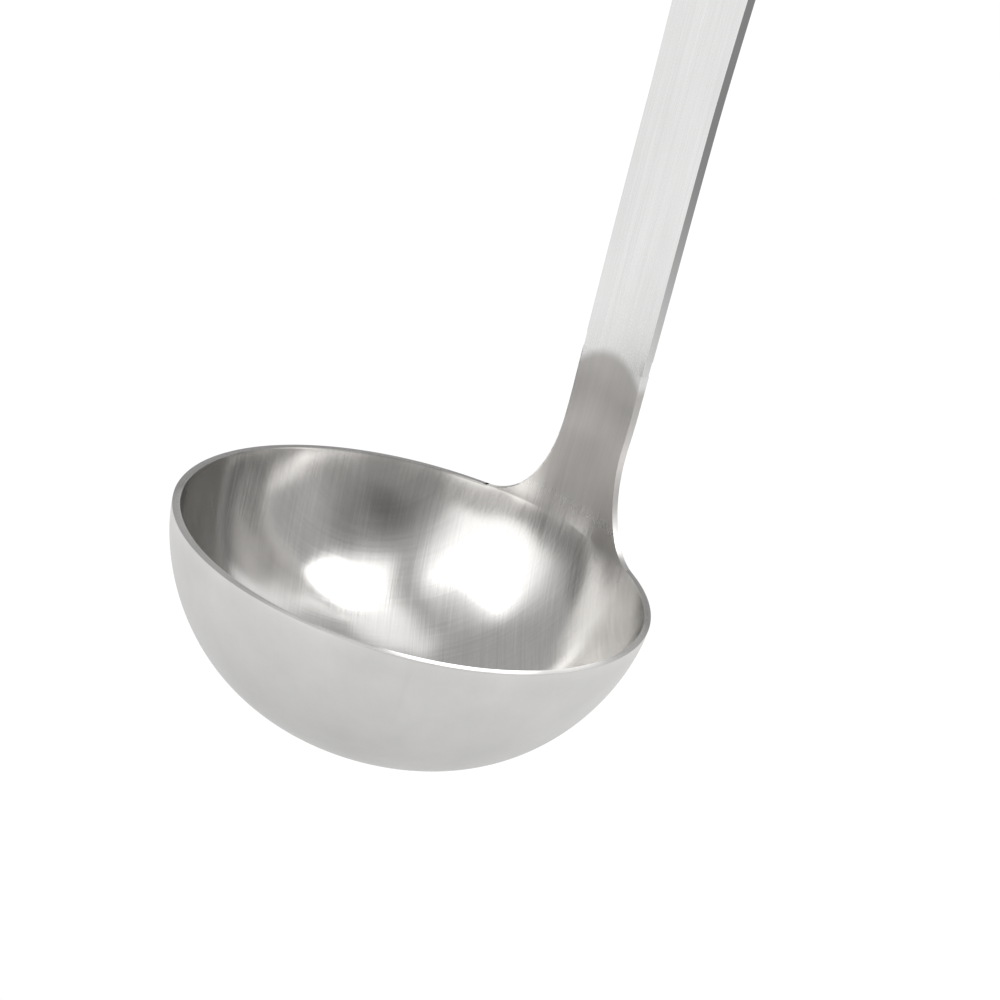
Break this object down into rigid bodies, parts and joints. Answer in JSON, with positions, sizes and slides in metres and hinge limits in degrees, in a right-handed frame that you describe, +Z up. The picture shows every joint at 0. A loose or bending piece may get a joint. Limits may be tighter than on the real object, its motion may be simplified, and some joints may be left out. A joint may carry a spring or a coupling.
{
  "type": "soup ladle",
  "caption": "Steel ladle with a deep round bowl whose neck rises from the rim into a flat bar handle, for scooping and pouring liquids; hangs by the hole at the handle's end.",
  "frame": {"origin": "centre of the hanging hole, in the middle of the handle's thickness", "axes": "+Z up along the handle and square to the rim's plane, -Y towards the front lip of the bowl, +Y out of the handle's back, +X to the right seen from the front"},
  "size_m": [0.092, 0.092, 0.2992],
  "materials": {
    "bowl_steel": "stainless sheet, cross-polished inside and satin outside, with a ground lip",
    "weld_steel": "weld ground flush and blended by hand, satin",
    "handle_steel": "stainless bar brushed along its length, with bevelled edges"
  },
  "bodies": {
    "root": {"bowl": "bowl_steel", "neck_weld": "weld_steel", "handle": "handle_steel"}
  },
  "joints": []
}
